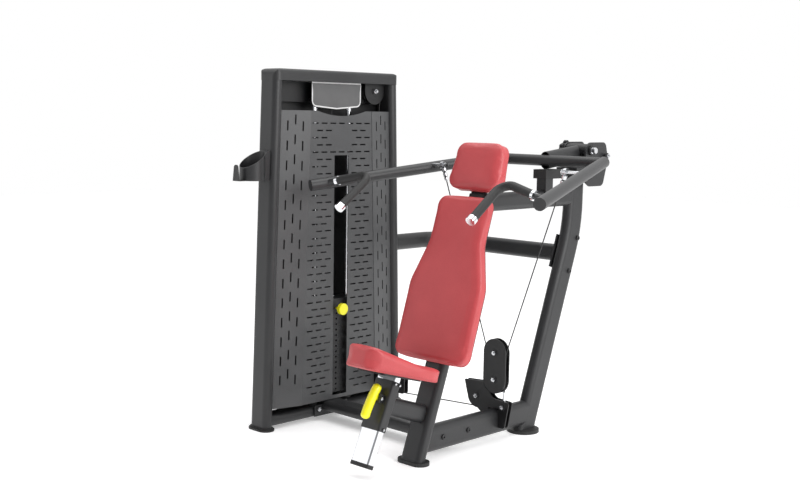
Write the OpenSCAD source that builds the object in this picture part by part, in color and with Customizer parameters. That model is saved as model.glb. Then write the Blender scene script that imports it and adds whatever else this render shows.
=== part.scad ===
// Seated press machine with a pin-selected weight stack
// X is across the user, the user faces -Y, Z is up, millimetres.
// The origin is the middle of the front foot's sole.

/* [Frame tubes] */
// Wide side of the flat-oval frame tube
tube_w = 110; // [90:1:130]
// Narrow side of the flat-oval frame tube
tube_d = 50; // [40:1:60]
// Wall of every frame tube
tube_wall = 3; // [2:0.5:5]
// Tall side of the flat-oval cross beams
cross_h = 76; // [66:1:80]
// Lean of the front post from upright, degrees
post_lean = 20; // [15:0.5:25]
// Height of the centre line of the top beam
top_beam_z = 1018; // [960:1:1040]
// Height of the centre line of the middle beam
mid_beam_z = 765; // [700:1:800]
// Height of the centre line of the base beam
base_beam_z = 83; // [70:1:110]

/* [Rear column] */
// Distance from the front foot to the foot of the rear column
column_y = 694; // [640:1:740]
// Lean of the straight lower part of the column, degrees
column_lean = 19.5; // [15:0.5:22]
// Height where the column starts to bend upright
column_bend_z = 780; // [700:1:800]
// Radius of that bend
column_bend_r = 655; // [500:5:700]
// Height of the top end of the column
column_top_z = 1110; // [1080:1:1120]

/* [Feet] */
// Thickness of the rubber feet
foot_t = 14; // [8:1:20]
// How far a foot stands out beyond its tube
foot_lip = 12; // [6:1:20]

/* [Weight tower] */
// Distance from the seat's middle plane to the middle of the tower
tower_x = -788; // [-850:1:-760]
// Place of the tower's middle along the machine
tower_y = 258; // [230:1:290]
// Half the distance between the uprights at the floor
tower_half = 394; // [370:1:420]
// Lean of each upright towards the tower's middle, degrees
tower_lean = 2; // [1:0.25:2.5]
// Height of the underside of the cap
cap_z = 1508; // [1490:1:1530]
// Height of the cap
cap_h = 50; // [40:1:60]
// Depth of the cap
cap_depth = 116; // [112:1:140]
// How far the cap reaches past the middle of each upright
cap_over = 26; // [26:1:40]
// Radius of the cap's rounded ends
cap_round = 34; // [20:1:40]
// Thickness of sheet covers
sheet_t = 2; // [1.5:0.5:3]

/* [Shroud] */
// Height of the lower edge of the shroud
shroud_z0 = 90; // [66:1:96]
// How far the upper edge of the shroud lies below the cap
shroud_drop = 125; // [113:1:168]
// Half width of the flat middle panel at its lower edge
panel_half = 226; // [205:1:235]
// How far the middle panel stands in front of the tower's middle
panel_x = 70; // [66:1:76]
// How far the outer edges of the wings stand in front of the tower's middle
wing_x = 36; // [30:1:44]
// Width of the window in front of the stack
window_w = 85; // [70:1:95]
// Height of the lower end of the window
window_z0 = 106; // [100:1:112]
// Height of the upper end of the window
window_z1 = 1188; // [1150:1:1210]
// Length of a ventilation slot in the middle panel
slot_l = 34; // [24:1:38]
// Height of a ventilation slot in the middle panel
slot_h = 6; // [4:0.5:8]
// Sideways pitch of the slots
slot_pitch_y = 51.5; // [48:0.5:60]
// Upward pitch of the slot rows
slot_pitch_z = 31.5; // [28:0.5:36]
// Length of an upright slot in a wing
wing_slot_l = 42; // [30:1:50]
// Width of an upright slot in a wing
wing_slot_w = 7; // [5:0.5:9]
// Sideways pitch of the wing slots
wing_pitch_y = 37; // [32:1:39]
// Upward pitch of the wing slots
wing_pitch_z = 85; // [75:1:95]
// Width of the placard under the cap
placard_w = 293; // [240:1:320]
// Height of the placard
placard_h = 118; // [100:1:120]

/* [Weight stack] */
// Number of plates that stay down
plate_count = 15; // [8:1:15]
// Height of one plate
plate_h = 25; // [20:0.5:25]
// Width of a plate
plate_w = 300; // [280:1:320]
// Depth of a plate
plate_depth = 90; // [80:1:92]
// Air between two plates
plate_gap = 0.3; // [0.2:0.1:0.5]
// Height of the head weight on top
head_h = 30; // [24:1:36]
// Height of the underside of the stack
stack_z = 111; // [86:1:120]
// Diameter of the guide rods
rod_d = 25; // [20:1:28]
// Distance between the guide rods
rod_gap = 206; // [190:1:220]
// Radial clearance of the weights round the guide rods
rod_clear = 0.6; // [0.4:0.1:1]
// Diameter of the selector stem
stem_d = 26; // [22:1:30]
// Diameter of the selector pin
pin_d = 9; // [7:0.5:10]
// Diameter of the yellow knob on the pin
knob_d = 52; // [40:1:56]
// Thickness of the yellow knob
knob_t = 16; // [12:1:20]

/* [Cable and pulleys] */
// Diameter of the cable
cable_d = 5; // [4:0.5:6]
// Radius of a pulley at the middle of the cable
pulley_r = 48; // [46:0.5:49]
// How far the pulley's flanges stand beyond the middle of the cable
pulley_lip = 6; // [4:0.5:6]
// Width of a pulley
pulley_w = 16; // [14:1:18]
// Diameter of the pulley axles
axle_d = 12; // [10:1:14]
// Running clearance of a pulley on its axle, radial
axle_clear = 0.05; // [0.02:0.01:0.1]
// Thickness of pulley side plates
cheek_t = 5; // [4:0.5:6]
// Air between a pulley and its side plates
cheek_gap = 1; // [0.6:0.1:1.5]
// How far the side plates stand beyond the middle of the cable
cheek_lip = 12; // [8:1:12]
// Place of the lifting cable's plane along the machine
cable_y = 500; // [480:1:520]
// Height of the lower axle of the floating block
block_z = 262; // [258:1:290]
// Distance between the axles of the floating block
block_gap = 115; // [110:1:125]
// Height of the axle of the low pulley
low_z = 176; // [172:1:180]
// Height of the axle of the pulley inside the tower's foot
bottom_z = 141; // [136:1:150]
// How far the top axles lie below the cap
top_drop = 33; // [28:1:40]
// How far the cable guide reaches from the tower towards the seat
guide_reach = 258; // [235:1:280]

/* [Press arm] */
// Diameter of the arm tubes
arm_d = 48; // [42:1:52]
// Sideways reach of the arm's front end
arm_x = 605; // [560:1:630]
// Place of the arm's front end along the machine
arm_y = -23; // [-60:1:0]
// Height of the arm's front end
arm_z = 1069; // [1040:1:1090]
// Sideways place of the arm's rear end
elbow_x = 298; // [280:1:320]
// Place of the crossbar along the machine
elbow_y = 795; // [780:1:810]
// Height of the crossbar
elbow_z = 1184; // [1178:1:1196]
// Height of the spine tube
spine_h = 76; // [66:1:80]
// Place of the pivot along the machine
pivot_y = 1040; // [1030:1:1050]
// Height of the pivot
pivot_z = 1226; // [1220:1:1230]
// Diameter of the pivot axle
pivot_d = 30; // [24:1:36]
// Outside diameter of the pivot hub
hub_d = 58; // [52:1:64]
// Half length of the pivot hub
hub_half = 54; // [48:1:56]
// Thickness of the pivot's side plates
ear_t = 8; // [6:1:10]

/* [Grips] */
// Diameter of the grip's steel bar
grip_d = 27; // [24:1:30]
// Outside diameter of the rubber sleeve
sleeve_d = 34; // [32:1:40]
// Radius of the bend in a grip
grip_bend = 46; // [40:1:60]
// Diameter of the chrome collars
collar_d = 39; // [36:1:44]

/* [Seat] */
// Tilt of the seat, degrees
seat_tilt = 15.5; // [12:0.5:18]
// Length of the seat cushion
seat_l = 344; // [320:1:370]
// Width of the seat cushion at its rear
seat_rear_w = 285; // [250:1:330]
// Width of the seat cushion at its nose
seat_front_w = 150; // [130:1:220]
// Thickness of the seat cushion at its nose
seat_t = 97; // [80:1:100]
// Lean of the seat's post, degrees
seat_post_lean = 24; // [20:0.5:26]
// Width of the seat's sliding tube
seat_tube_w = 96; // [80:1:100]
// Depth of the seat's sliding tube
seat_tube_d = 36; // [30:1:40]
// Sliding clearance round that tube
slide_gap = 0.4; // [0.3:0.1:0.8]
// Wall of the seat's outer sleeve
seat_sleeve_wall = 3.5; // [3:0.5:7]
// Length of the seat's outer sleeve
seat_sleeve_l = 197; // [170:1:205]
// Diameter of the yellow lever
lever_d = 36; // [24:1:38]

/* [Back and head pads] */
// Lean of the pads, degrees
pad_lean = 17.7; // [16.5:0.1:18]
// Length of the back pad
back_l = 678; // [620:1:690]
// Width of the lower back pad
back_w = 388; // [350:1:400]
// Width of the upper back pad
back_top_w = 276; // [240:1:300]
// Thickness of the back pad at its edge
back_t = 34; // [28:1:40]
// Thickness of the board behind the back pad
board_t = 10; // [6:1:12]
// Rise of a pad's crown above its edge
crown = 9; // [4:1:14]
// Width of the head pad at its lower edge
head_w = 275; // [250:1:290]
// Width of the head pad at its upper edge
head_top_w = 236; // [220:1:260]
// Length of the head pad
head_l = 198; // [180:1:206]
// Thickness of the head pad at its edge
head_pad_t = 58; // [50:1:62]

/* [Cup holder] */
// Outside diameter of the cup holder
cup_d = 110; // [90:1:120]
// Wall of the cup holder
cup_wall = 3; // [2:0.5:4]
// Height of the cup holder's underside
cup_z = 1085; // [1000:1:1150]
// Height of the cup holder at its back
cup_h = 128; // [110:1:140]

/* [Hidden] */
$fn = 48;

// Contact gap left between welded pieces with curved faces
weld = 0.1;
// Reach of a cutting body, well beyond the part
far = 4000;
// Colours
charcoal = [0.23, 0.23, 0.24];
sheet_grey = [0.45, 0.46, 0.47];
black = [0.07, 0.07, 0.07];
chrome = [0.85, 0.86, 0.87];
red = [0.75, 0.26, 0.28];
yellow = [0.97, 0.93, 0.12];

// Vectors and frames
function unit(v) = v / norm(v);
function flip(p) = [-p[0], p[1], p[2]];
function side_axis(d) = unit(cross(abs(d[2]) < 0.9 ? [0, 0, 1] : [1, 0, 0], d));
module frame(at, ex, ey, ez) {
  multmatrix([
    [ex[0], ey[0], ez[0], at[0]],
    [ex[1], ey[1], ez[1], at[1]],
    [ex[2], ey[2], ez[2], at[2]]
  ]) children();
}

// One straight length of a section, from point a to point b
module run(a, b) {
  d = unit(b - a);
  ex = side_axis(d);
  frame(a, ex, cross(d, ex), d) linear_extrude(norm(b - a)) children();
}

// One bend of radius r at corner p, coming from a and leaving for b
module elbow(a, p, b, r) {
  u = unit(p - a);
  v = unit(b - p);
  turn = acos(u * v);
  centre = p + unit(v - u) * r / cos(turn / 2);
  ex = unit(p - u * r * tan(turn / 2) - centre);
  frame(centre, ex, u, cross(ex, u)) rotate_extrude(angle = turn, $fn = 96)
    translate([r, 0]) children();
}
function bend_cut(a, p, b, r) = r * tan(acos(unit(p - a) * unit(b - p)) / 2);

// A round-section pipe along corner points, with bends of radius r
module pipe(pts, r) {
  last = len(pts) - 1;
  for (i = [0:last - 1]) {
    d = unit(pts[i + 1] - pts[i]);
    head = i == 0 ? 0 : bend_cut(pts[i - 1], pts[i], pts[i + 1], r);
    tail = i == last - 1 ? 0 : bend_cut(pts[i], pts[i + 1], pts[i + 2], r);
    if (norm(pts[i + 1] - pts[i]) - head - tail > 0.01)
      run(pts[i] + d * head, pts[i + 1] - d * tail) children();
  }
  for (i = [1:1:last - 1])
    elbow(pts[i - 1], pts[i], pts[i + 1], r) children();
}

// Flat sections
module oval(w, d) {
  square([w - d, d], center = true);
  for (s = [-1, 1]) translate([s * (w - d) / 2, 0]) circle(d = d);
}
module oval_tube(w, d, wall) {
  difference() {
    oval(w, d);
    oval(w - 2 * wall, d - 2 * wall);
  }
}
module ring(od, id) {
  difference() {
    circle(d = od);
    circle(d = id);
  }
}
module soft_box(w, d, r) {
  square([w - 2 * r, d], center = true);
  square([w, d - 2 * r], center = true);
  for (x = [-1, 1], y = [-1, 1]) translate([x * (w / 2 - r), y * (d / 2 - r)]) circle(r);
}

// A polygon whose corners are rounded, each by its own radius
arc_steps = 6;
function corner(a, p, b, r) =
  let (u = unit(a - p), v = unit(b - p), half = acos(u * v) / 2,
       c = p + unit(u + v) * r / sin(half),
       s = p + u * r / tan(half) - c, e = p + v * r / tan(half) - c,
       a0 = atan2(s[1], s[0]), da = (atan2(e[1], e[0]) - a0 + 540) % 360 - 180)
  [for (i = [0:arc_steps]) c + r * [cos(a0 + da * i / arc_steps), sin(a0 + da * i / arc_steps)]];
function rounded(pts, radii) =
  let (n = len(pts))
  [for (i = [0:n - 1]) each corner(pts[(i + n - 1) % n], pts[i], pts[(i + 1) % n], radii[i])];

// A flat plate whose outline is drawn in X and Z, from y0 to y0 + t
module xz_plate(y0, t) {
  translate([0, y0 + t, 0]) rotate([90, 0, 0]) linear_extrude(t) children();
}
// A flat plate whose outline is drawn in Y and Z, from x0 to x0 + t
module yz_plate(x0, t) {
  translate([x0, 0, 0]) rotate([90, 0, 90]) linear_extrude(t) children();
}

// Padded forms: rings of an outline, drawn in, rounded over and crowned
function pad_normals(o) =
  let (n = len(o))
  [for (i = [0:n - 1]) let (d = unit(o[(i + 1) % n] - o[(i + n - 1) % n])) [-d[1], d[0]]];
function pad_rows(t, rise) = [
  [5, 1, 0], [0, 1, 5], [1.5, 1, t * 0.45], [0, 1, t - 9], [4, 1, t - 3], [11, 1, t],
  [11, 0.82, t + rise * 0.55], [11, 0.5, t + rise * 0.9]
];
// lift gives the share of the full thickness at a point of the outline
module pad(outline, t, rise, lift) {
  n = len(outline);
  rows = pad_rows(t, rise);
  m = len(rows);
  inward = pad_normals(outline);
  mid = [for (k = [0, 1]) (min([for (p = outline) p[k]]) + max([for (p = outline) p[k]])) / 2];
  rings = [for (row = rows) each [for (i = [0:n - 1])
    let (p = mid + (outline[i] + inward[i] * row[0] - mid) * row[1])
    [p[0], p[1], row[2] * lift(p)]]];
  points = concat(rings, [[mid[0], mid[1], 0], [mid[0], mid[1], (t + rise) * lift(mid)]]);
  skin = [for (r = [0:m - 2], i = [0:n - 1]) let (a = r * n + i, b = r * n + (i + 1) % n)
    each [[a, a + n, b], [b, a + n, b + n]]];
  back = [for (i = [0:n - 1]) [i, (i + 1) % n, m * n]];
  front = [for (i = [0:n - 1]) [(m - 1) * n + (i + 1) % n, (m - 1) * n + i, m * n + 1]];
  polyhedron(points, concat(skin, back, front));
}

// Lines that several pieces share
foot_z = foot_t;
function post_at(s) = [0, post_y0 + s * sin(post_lean), s * cos(post_lean)];
post_y0 = -8;
top_z = cap_z - top_drop;
shroud_z1 = cap_z - shroud_drop;
top_rear_y = tower_y + upright_half(top_z) - tube_d / 2 - pulley_r - cheek_lip - 4;
post_top_z = top_beam_z + cross_h / 2 - 1;
post_len = post_top_z / cos(post_lean);
function post_y(z) = post_y0 + z * tan(post_lean);
function column_line_y(z) = column_y + z * tan(column_lean);
column_arc_y = column_line_y(column_bend_z);
column_top_y = column_arc_y + column_bend_r * (1 - cos(column_lean));
column_arc_z = column_bend_z + column_bend_r * sin(column_lean);

// Solid outer bodies of the tubes, used to trim what is welded to them
module post_body() {
  translate([0, post_y0, 0]) rotate([-post_lean, 0, 0])
    translate([0, 0, -tube_w]) linear_extrude(post_len + 3 * tube_w) children();
}
module column_path(z0, z1) {
  translate([0, column_y, 0]) rotate([-column_lean, 0, 0])
    translate([0, 0, z0]) linear_extrude(column_bend_z / cos(column_lean) - z0)
    rotate(90) children();
  frame([0, column_arc_y - column_bend_r * cos(column_lean),
         column_bend_z + column_bend_r * sin(column_lean)],
        [0, cos(column_lean), -sin(column_lean)], [0, sin(column_lean), cos(column_lean)],
        [1, 0, 0])
    rotate_extrude(angle = column_lean, $fn = 96) translate([column_bend_r, 0])
    children();
  translate([0, column_top_y, column_arc_z]) linear_extrude(z1 - column_arc_z)
    rotate(90) children();
}
module above(z) translate([-far / 2, -far / 2, z]) cube(far);
module below(z) translate([-far / 2, -far / 2, z - far]) cube(far);

// Uprights of the tower; side is -1 at the front and 1 at the rear
module upright_path(side) {
  translate([tower_x, tower_y + side * tower_half, 0]) rotate([side * tower_lean, 0, 0])
    translate([0, 0, -tube_w]) linear_extrude(cap_z + 3 * tube_w) children();
}
function upright_half(z) = tower_half - z * tan(tower_lean);
module upright(side) {
  color(charcoal) difference() {
    upright_path(side) oval_tube(tube_w, tube_d, tube_wall);
    below(foot_z);
    above(cap_z);
  }
}
module tower_front_upright() upright(-1);
module tower_rear_upright() upright(1);
module tower_trim() {
  for (side = [-1, 1]) upright_path(side) oval(tube_w + 2 * weld, tube_d + 2 * weld);
}

// Cap over both uprights: a hollow cover with rounded ends
cap_half = upright_half(cap_z) + cap_over;
cap_corner = 28;
module cap_shape(inset) {
  long = cap_half - inset;
  deep = cap_depth / 2 - inset;
  top = cap_z + cap_h - inset;
  end_r = cap_round - inset;
  edge_r = cap_round / 2 - inset / 2;
  intersection() {
    yz_plate(tower_x - deep, 2 * deep) translate([tower_y, 0])
      polygon(concat([[-long, cap_z - inset], [long, cap_z - inset]],
        corner([long, cap_z], [long, top], [0, top], end_r),
        corner([0, top], [-long, top], [-long, cap_z], end_r)));
    xz_plate(tower_y - long, 2 * long) translate([tower_x, 0])
      polygon(concat([[-deep, cap_z - inset], [deep, cap_z - inset]],
        corner([deep, cap_z], [deep, top], [0, top], edge_r),
        corner([0, top], [-deep, top], [-deep, cap_z], edge_r)));
    translate([tower_x, tower_y, cap_z - cap_h]) rotate(90) linear_extrude(3 * cap_h)
      soft_box(2 * long, 2 * deep, cap_corner - inset);
  }
}
cap_wall = 4;
module tower_cap() {
  color(charcoal) {
    difference() {
      cap_shape(0);
      difference() {
        cap_shape(cap_wall);
        for (side = [-1, 1])
          translate([tower_x, tower_y + side * upright_half(cap_z), cap_z - cap_wall])
            linear_extrude(2 * cap_wall) oval(tube_w + 6, tube_d + 4);
      }
    }
  }
}

module tower_feet() {
  color(black) for (side = [-1, 1])
    translate([tower_x, tower_y + side * tower_half, 0]) {
      linear_extrude(foot_t * 0.6) oval(tube_w + 2 * foot_lip, tube_d + 2 * foot_lip);
      translate([0, 0, foot_t * 0.6]) linear_extrude(foot_t * 0.4)
        oval(tube_w + foot_lip, tube_d + foot_lip);
    }
}

rail_z = foot_t + 0.5 + tube_d / 2;
rail_top = rail_z + tube_d / 2;
module tower_base_rail() {
  color(charcoal) difference() {
    run([tower_x, tower_y - tower_half, rail_z], [tower_x, tower_y + tower_half, rail_z])
      oval_tube(rail_w, tube_d, tube_wall);
    tower_trim();
  }
}

// Shroud: a flat middle panel between two wings folded back
fold_lean = atan((tower_half - upright_half(shroud_z1)) / shroud_z1);
panel_top_half = panel_half - (shroud_z1 - shroud_z0) * tan(fold_lean);
wing_out = upright_half(shroud_z0) - tube_d / 2 + 4 - panel_half;
wing_turn = atan((panel_x - wing_x) / wing_out);
wing_w = wing_out / cos(wing_turn);
shroud_h = shroud_z1 - shroud_z0;
top_dip = 22;
cable_hole_w = 46;
cable_hole_h = 126;
slot_top = 54;
slot_bar = 70;
wing_top = 68;
wing_step = 27;
module slot_rows() {
  for (r = [0:floor((shroud_h - slot_top - 20) / slot_pitch_z)]) {
    z = shroud_z1 - slot_top - r * slot_pitch_z;
    half = panel_half - (z - shroud_z0) * tan(fold_lean) - slot_l / 2 - 4;
    shift = r % 2 == 0 ? 0 : slot_pitch_y / 2;
    for (k = [-4:4]) {
      y = k * slot_pitch_y + shift;
      if ((r == 0 || r == 4 || abs(y) > slot_bar) && abs(y) < half)
        translate([y, z]) square([slot_l, slot_h], center = true);
    }
  }
}
module panel_outline() {
  polygon(concat([[-panel_half, shroud_z0], [panel_half, shroud_z0], [panel_top_half, shroud_z1]],
    [for (i = [8:-1:-8]) [panel_top_half * 0.8 * i / 8, shroud_z1 - top_dip * (1 - pow(i / 8, 2))]],
    [[-panel_top_half, shroud_z1]]));
}
module shroud_panel() {
  yz_plate(tower_x + panel_x - sheet_t, sheet_t) translate([tower_y, 0]) difference() {
    panel_outline();
    translate([-window_w / 2, window_z0]) square([window_w, window_z1 - window_z0]);
    slot_rows();
  }
}
// A wing in its own plane: along the fold upwards, away from the panel sideways
module wing_outline(hole) {
  difference() {
    translate([0, -20]) square([wing_w, shroud_h + 40]);
    for (c = [0:2], r = [0:floor((shroud_h - wing_top - wing_slot_l) / wing_pitch_z)])
      translate([wing_w / 2 + (c - 1) * wing_pitch_y,
                 shroud_h - wing_top + (c == 1 ? wing_step : 0) - wing_pitch_z * r])
        square([wing_slot_w, wing_slot_l], center = true);
    if (hole) translate([-20, -20])
      square([cable_y + cable_hole_w / 2 - tower_y - panel_half + 20, cable_hole_h + 20]);
  }
}
module shroud_wing(side) {
  translate([tower_x + panel_x, tower_y + side * panel_half, shroud_z0])
    rotate([side * fold_lean, 0, 0])
    rotate([0, 0, side * (90 + wing_turn)]) rotate([90, 0, 0]) mirror([0, 0, side > 0 ? 0 : 1])
    linear_extrude(sheet_t) wing_outline(side > 0);
}
module front_shroud() {
  color(sheet_grey) difference() {
    union() {
      shroud_panel();
      for (side = [-1, 1]) shroud_wing(side);
    }
    below(shroud_z0);
    above(shroud_z1);
    translate([tower_x, cable_y - cable_hole_w / 2, 0])
      cube([cap_depth, cable_hole_w, shroud_z0 + cable_hole_h]);
    tower_trim();
  }
}

cover_x = tower_x - 50;
cover_z0 = rail_top + 0.4;
module rear_cover() {
  color(sheet_grey) difference() {
    yz_plate(cover_x, sheet_t) translate([tower_y, 0]) polygon([
      [-upright_half(cover_z0), cover_z0], [upright_half(cover_z0), cover_z0],
      [upright_half(cap_z), cap_z - 0.4], [-upright_half(cap_z), cap_z - 0.4]]);
    tower_trim();
  }
}

placard_t = 3;
placard_x = 31;
module placard() {
  half = placard_w / 2;
  z0 = cap_z - placard_h;
  color(sheet_grey) yz_plate(tower_x + placard_x, placard_t) translate([tower_y, 0])
    polygon(concat([[half, cap_z], [-half, cap_z]],
      corner([-half, cap_z], [-half, z0 + 12], [0, z0], 26),
      [[0, z0]],
      corner([0, z0], [half, z0 + 12], [half, cap_z], 26)));
}

// Guide rods, the frame that holds their tops and hangs the top pulleys
rod_top = top_z - 50;
rod_block_h = 12;
module rods(d) {
  for (side = [-1, 1])
    translate([tower_x, tower_y + side * rod_gap / 2, rail_top]) cylinder(d = d, h = rod_top - rail_top);
}
module guide_rods() color(chrome) rods(rod_d);

top_centre_y = tower_y + pulley_r;
cheek_r = pulley_r + cheek_lip;
cheek_in = pulley_w / 2 + cheek_gap;
cheek_out = cheek_in + cheek_t;
hanger_top = cap_z + cap_h - cap_wall - 8;
hang_rail_x = tower_x - cheek_out;
module hanger(y) {
  difference() {
    yz_plate(tower_x - cheek_out, 2 * cheek_out) translate([y, 0]) {
      translate([0, top_z]) circle(cheek_r);
      translate([-cheek_r, top_z]) square([2 * cheek_r, hanger_top - top_z]);
    }
    translate([tower_x - cheek_in, y - far / 2, top_z - far])
      cube([2 * cheek_in, far, far + pulley_r + pulley_lip + 3]);
  }
  translate([tower_x - cheek_out, y, top_z]) rotate([0, 90, 0]) cylinder(d = axle_d, h = 2 * cheek_out + 6);
}
module head_frame() {
  color(black) {
    difference() {
      translate([hang_rail_x - 30, tower_y - upright_half(top_z), top_z - 55])
        cube([30 - weld, 2 * upright_half(top_z), 85]);
      tower_trim();
    }
    for (side = [-1, 1]) translate([hang_rail_x - weld, tower_y + side * (rod_gap / 2 + 4) - 15, rod_top])
      cube([tower_x + placard_x - hang_rail_x, 30, rod_block_h]);
    hanger(top_centre_y);
    hanger(top_rear_y);
  }
}

// A grooved pulley about its own Z axis
module pulley() {
  rim = pulley_r + pulley_lip;
  groove = pulley_r - cable_d / 2 - 0.3;
  half = pulley_w / 2;
  bore = axle_d / 2 + axle_clear;
  color(black) difference() {
    rotate_extrude($fn = 96) polygon([
      [bore, -half], [rim, -half], [rim, -half + 2], [groove, -cable_d * 0.6],
      [groove, cable_d * 0.6], [rim, half - 2], [rim, half], [bore, half]
    ]);
    for (a = [0:72:288]) rotate(a) translate([pulley_r * 0.55, 0, -half - 1]) cylinder(d = 14, h = pulley_w + 2);
  }
}
module pulley_x(at) translate(at) rotate([0, 90, 0]) pulley();
module pulley_y(at) translate(at) rotate([90, 0, 0]) pulley();
module axle_y(at, reach) translate(at + [0, -reach, 0]) rotate([-90, 0, 0]) cylinder(d = axle_d, h = 2 * reach);

top_centre = [tower_x, top_centre_y, top_z];
top_rear = [tower_x, top_rear_y, top_z];
bottom_axle = [tower_x + pulley_r, cable_y, bottom_z];
low_axle = [-2 * pulley_r, cable_y, low_z];
block_low = [0, cable_y, block_z];
block_up = [0, cable_y, block_z + block_gap];
module top_pulley_centre() pulley_x(top_centre);
module top_pulley_rear() pulley_x(top_rear);
module bottom_pulley() pulley_y(bottom_axle);
module low_pulley() pulley_y(low_axle);
module block_lower_pulley() pulley_y(block_low);
module block_upper_pulley() pulley_y(block_up);

guide_x = tower_x + guide_reach;
module bottom_pulley_bracket() {
  outline = [[tower_x - 10, rail_top], [tower_x + tube_w / 2 - tube_d / 2, rail_top],
    [tower_x + tube_w, bottom_z - 44], [guide_x, bottom_z - 40], [guide_x, bottom_z + 38],
    [bottom_axle[0] + 40, bottom_z + 58], [tower_x - 10, bottom_z + 58]];
  color(black) {
    for (y = [cable_y - cheek_out, cable_y + cheek_in])
      xz_plate(y, cheek_t) polygon(rounded(outline, [2, 2, 14, 12, 12, 20, 20]));
    axle_y(bottom_axle, cheek_out + 5);
    translate([guide_x - 24, cable_y - cheek_in, bottom_z + 14]) cube([14, 2 * cheek_in, 14]);
  }
}

module stack_bumpers() {
  color(black) for (side = [-1, 1])
    translate([tower_x, tower_y + side * rod_gap / 2, rail_top])
      linear_extrude(stack_z - rail_top - plate_gap) ring(tube_d, rod_d + 0.2);
}

// Weights: plates that stay, the plate picked by the pin, the head weight
function plate_z(i) = stack_z + i * plate_h;
pin_z = plate_z(plate_count) + plate_h / 2;
head_z = plate_z(plate_count + 1);
module weight(z, h, w) {
  difference() {
    translate([tower_x, tower_y, z]) rotate(90) linear_extrude(h) soft_box(w, plate_depth, 8);
    for (side = [-1, 1]) translate([tower_x, tower_y + side * rod_gap / 2, z - 1])
      cylinder(d = rod_d + 2 * rod_clear, h = h + 2);
    translate([tower_x, tower_y, z - 1]) cylinder(d = stem_d + 1, h = h + 2);
  }
}
module pin_hole(z, d) translate([tower_x, tower_y, z]) rotate([0, 90, 0]) cylinder(d = d, h = plate_depth);
module weight_plates() {
  color(black) for (i = [0:plate_count - 1]) difference() {
    weight(plate_z(i), plate_h - plate_gap, plate_w);
    pin_hole(plate_z(i) + plate_h / 2, pin_d + 1);
  }
}
module lifted_weights() {
  color(black) {
    difference() {
      weight(plate_z(plate_count), plate_h, plate_w);
      pin_hole(pin_z, pin_d + 1);
    }
    weight(head_z, head_h, plate_w * 0.8);
  }
}
stem_top = head_z + head_h + 26;
module selector_stem() {
  color(chrome) difference() {
    union() {
      translate([tower_x, tower_y, stack_z + 2]) cylinder(d = stem_d, h = stem_top - stack_z - 2);
      translate([tower_x, tower_y, head_z + head_h]) cylinder(d = stem_d * 1.7, h = 12);
    }
    for (i = [0:plate_count])
      translate([tower_x - stem_d, tower_y, plate_z(i) + plate_h / 2]) rotate([0, 90, 0])
        cylinder(d = pin_d + 1, h = 2 * stem_d);
  }
}
knob_x = panel_x + 8;
module selector_pin() {
  translate([tower_x, tower_y, pin_z]) rotate([0, 90, 0]) {
    color(chrome) translate([0, 0, -stem_d * 0.4]) cylinder(d = pin_d, h = knob_x + stem_d * 0.4);
    color(yellow) translate([0, 0, knob_x]) cylinder(d = knob_d, h = knob_t);
  }
}

// Cable that never changes its shape: from the low pulley through the tower to the stack
// The wheels are wrapped one after the other: low, bottom, rear top, centre top
slope_in = atan((low_z - bottom_z) / (low_axle[0] - bottom_axle[0]));
low_touch = low_axle + pulley_r * [sin(slope_in), 0, -cos(slope_in)];
bottom_touch = bottom_axle + pulley_r * [sin(slope_in), 0, -cos(slope_in)];
rise_start = bottom_axle - [pulley_r, 0, 0];
rise_d = top_rear - rise_start;
rise_turn = atan2(rise_d[2], rise_d[1]) - asin(pulley_r / norm([rise_d[1], rise_d[2]]));
rise_end = top_rear + pulley_r * [0, sin(rise_turn), -cos(rise_turn)];
module cable_run(a, b) run(a, b) circle(d = cable_d, $fn = 16);
// A wrap in the X-Z plane, angles from +X towards +Z
module wrap_y(at, a0, a1) {
  frame(at, [1, 0, 0], [0, 0, 1], [0, -1, 0]) rotate(a0) rotate_extrude(angle = a1 - a0, $fn = 96)
    translate([pulley_r, 0]) circle(d = cable_d, $fn = 16);
}
// A wrap in the Y-Z plane, angles from +Y towards +Z
module wrap_x(at, a0, a1) {
  frame(at, [0, 1, 0], [0, 0, 1], [1, 0, 0]) rotate(a0) rotate_extrude(angle = a1 - a0, $fn = 96)
    translate([pulley_r, 0]) circle(d = cable_d, $fn = 16);
}
module drive_cable() {
  color(black) {
    wrap_y(low_axle, slope_in - 90, 0);
    cable_run(bottom_touch, low_touch);
    wrap_y(bottom_axle, -180, slope_in - 90);
    cable_run(rise_start + unit(rise_end - rise_start) * 0.2, rise_end);
    wrap_x(top_rear, rise_turn - 90, 90);
    cable_run(top_centre + [0, 0, pulley_r], top_rear + [0, 0, pulley_r]);
    wrap_x(top_centre, 90, 180);
  }
}
module stack_cable() {
  color(black) translate([tower_x, tower_y, stem_top]) cylinder(d = cable_d, h = top_z - stem_top, $fn = 16);
}

// Cup holder on the front upright, with a small hook in front of it
cup_face_y = tower_y - upright_half(cup_z) - tube_d / 2;
cup_c = [tower_x - 8, cup_face_y - cup_d / 2 - cup_wall];
hook_y = cup_c[1] - cup_d / 2 - 32;
module cup_holder() {
  color(charcoal) union() {
    difference() {
      union() {
        translate([cup_c[0], cup_c[1], cup_z]) cylinder(d = cup_d, h = cup_h);
        translate([cup_c[0] - 20, cup_c[1], cup_z]) cube([62, cup_d / 2 + 12, cup_h]);
        translate([cup_c[0] - 22, hook_y, cup_z]) cube([44, cup_d / 2, cup_wall]);
      }
      translate([cup_c[0], cup_c[1], cup_z + cup_wall]) cylinder(d = cup_d - 2 * cup_wall, h = cup_h);
      translate([cup_c[0], cup_face_y + 2, cup_z + cup_h]) rotate([33, 0, 0])
        translate([-far / 2, -far, 0]) cube(far);
      tower_trim();
    }
    xz_plate(hook_y, cup_wall) translate([cup_c[0], cup_z])
      polygon(rounded([[-22, 0], [22, 0], [13, 68], [-13, 68]], [1, 1, 12, 12]));
  }
}

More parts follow.
